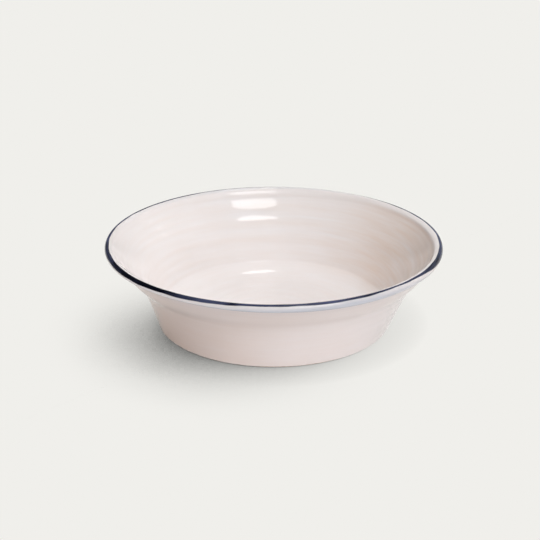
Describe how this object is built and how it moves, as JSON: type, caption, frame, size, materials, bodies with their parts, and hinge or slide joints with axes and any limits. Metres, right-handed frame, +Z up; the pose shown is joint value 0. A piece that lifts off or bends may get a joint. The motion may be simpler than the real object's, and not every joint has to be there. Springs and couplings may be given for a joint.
{
  "type": "serving bowl",
  "caption": "Round hand-thrown ceramic serving bowl with a steep wall, a wide flared rim, a beaded lip with a blue band and a bare clay foot ring.",
  "frame": {"origin": "centre of the foot ring's flat underside", "axes": "+Z up along the bowl's axis of turning; X and Y lie in the plane of the table"},
  "size_m": [0.27, 0.27, 0.0685],
  "materials": {
    "bare_clay": "bare fired clay, matt and slightly gritty",
    "white_glaze": "glossy off-white glaze with a faint pink warmth and soft throwing rings",
    "blue_glaze": "glossy dark blue glaze, thinning to pale blue on the lip's outer face"
  },
  "bodies": {
    "root": {"clay_body": "bare_clay", "inside_glaze": "white_glaze", "outside_glaze": "white_glaze", "rim_band": "blue_glaze", "base_glaze": "white_glaze"}
  },
  "joints": []
}
